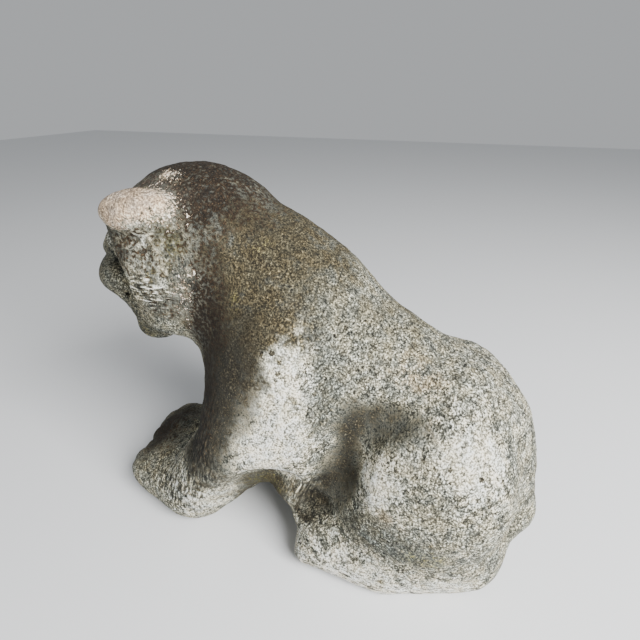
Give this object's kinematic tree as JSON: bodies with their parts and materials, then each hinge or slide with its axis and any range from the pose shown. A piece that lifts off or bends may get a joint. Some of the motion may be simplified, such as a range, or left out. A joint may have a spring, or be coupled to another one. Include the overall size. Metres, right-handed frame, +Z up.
{
  "type": "stone lion sculpture",
  "caption": "Weathered carved stone lion sitting low on its haunches, smooth and maneless, its head turned to one side, with an arch right through under the belly.",
  "frame": {"origin": "on the ground the lion stands on, in the middle of its outline as seen from above", "axes": "+Z up, -Y the way the lion faces with its body, +X to the lion's left"},
  "size_m": [0.3128, 0.6991, 0.5517],
  "materials": {
    "weathered_limestone": "weathered"
  },
  "bodies": {
    "root": {"stone_lion": "weathered_limestone"}
  },
  "joints": []
}
